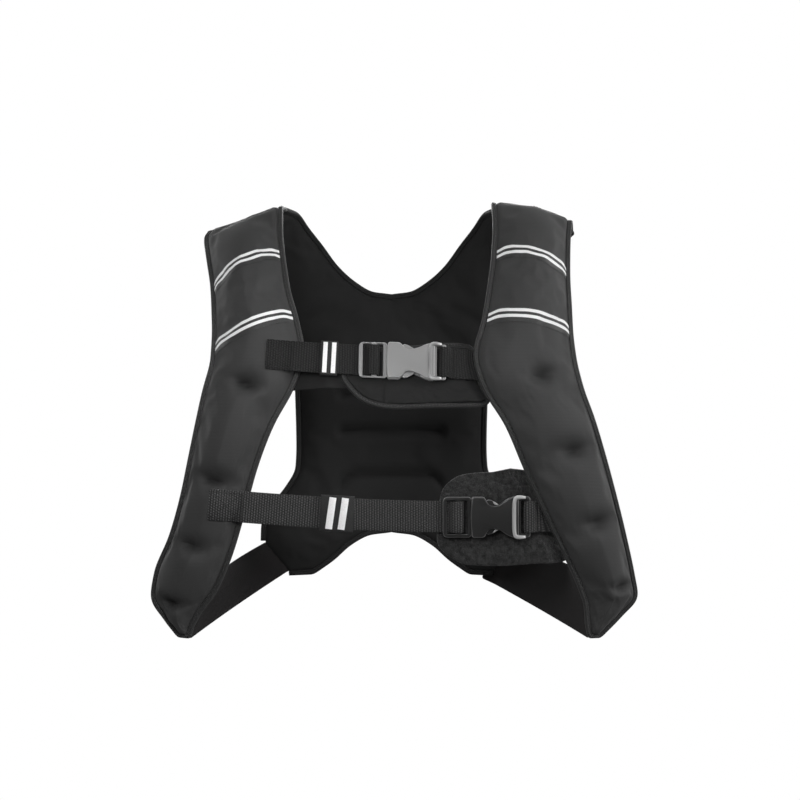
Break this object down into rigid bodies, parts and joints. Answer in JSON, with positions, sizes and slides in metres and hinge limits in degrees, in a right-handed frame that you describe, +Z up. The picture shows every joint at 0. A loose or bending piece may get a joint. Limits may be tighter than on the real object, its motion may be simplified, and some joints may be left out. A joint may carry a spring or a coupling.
{
  "type": "weighted vest",
  "caption": "Filled neoprene vest for training with weight, with webbing chest and waist straps, side-release buckles, reflective tapes and elastic side straps, shaped as worn",
  "frame": {"origin": "midway between the two shoulder crests at their height, where the vest rests on the shoulders", "axes": "+X to the viewer's right across the shoulders, +Y from the chest to the back, +Z up"},
  "size_m": [0.4968, 0.2379, 0.4483],
  "materials": {
    "neoprene": "fine knit, matt",
    "lining": "knit, matt",
    "binding": "stitched tape, satin",
    "webbing": "ribbed webbing, matt",
    "elastic": "woven elastic, matt",
    "tape": "grey ribbon with light reflective stripes",
    "reflective": "retroreflective, satin",
    "loop_pile": "loop pile, matt",
    "plastic": "moulded, satin"
  },
  "bodies": {
    "root": {"front_panel_left": "neoprene", "front_panel_right": "neoprene", "chest_pad": "neoprene", "chest_tab": "neoprene", "back_panel": "lining", "front_binding_left": "binding", "front_binding_right": "binding", "neck_binding": "binding", "side_binding_left": "binding", "side_binding_right": "binding", "hem_binding": "binding", "chest_pad_binding": "binding", "side_strap_left": "elastic", "side_strap_right": "elastic", "chest_keeper": "elastic", "waist_keeper": "elastic", "shoulder_tape_left_upper": "tape", "shoulder_tape_left_lower": "tape", "shoulder_tape_right_upper": "tape", "shoulder_tape_right_lower": "tape", "chest_strap": "webbing", "chest_strap_end": "webbing", "waist_strap": "webbing", "waist_strap_end": "webbing", "chest_reflector_1": "reflective", "chest_reflector_2": "reflective", "waist_reflector_1": "reflective", "waist_reflector_2": "reflective", "chest_buckle_plug": "plastic", "chest_buckle_socket": "plastic", "waist_buckle_plug": "plastic", "waist_buckle_socket": "plastic", "waist_pad": "loop_pile"}
  },
  "joints": []
}
